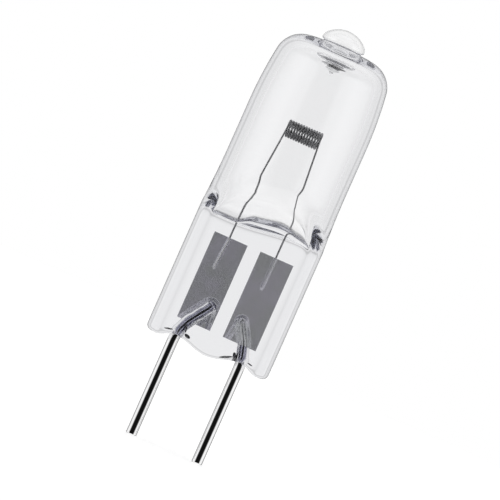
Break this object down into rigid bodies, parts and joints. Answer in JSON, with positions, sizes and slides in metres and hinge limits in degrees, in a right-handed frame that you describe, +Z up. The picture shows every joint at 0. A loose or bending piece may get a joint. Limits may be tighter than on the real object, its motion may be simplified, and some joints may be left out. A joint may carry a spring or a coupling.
{
  "type": "halogen capsule bulb",
  "caption": "Clear quartz capsule bulb with a rounded dome, sealed exhaust tip, flat-core filament and a pinched foot that holds a pair of straight lead pins.",
  "frame": {"origin": "midway between the lead pins' tips, on the bulb's axis", "axes": "+Z up the bulb's axis towards the exhaust tip, +X from the left pin to the right pin, -Y and +Y out of the flat faces of the pinch"},
  "size_m": [0.0116, 0.0114, 0.0404],
  "materials": {
    "quartz": "clear fire-polished quartz glass",
    "tungsten": "drawn tungsten wire, dark grey",
    "molybdenum_foil": "matte etched molybdenum foil",
    "molybdenum_pin": "polished molybdenum wire"
  },
  "bodies": {
    "root": {"quartz_envelope": "quartz", "filament": "tungsten", "foil_left": "molybdenum_foil", "foil_right": "molybdenum_foil", "pin_left": "molybdenum_pin", "pin_right": "molybdenum_pin"}
  },
  "joints": []
}
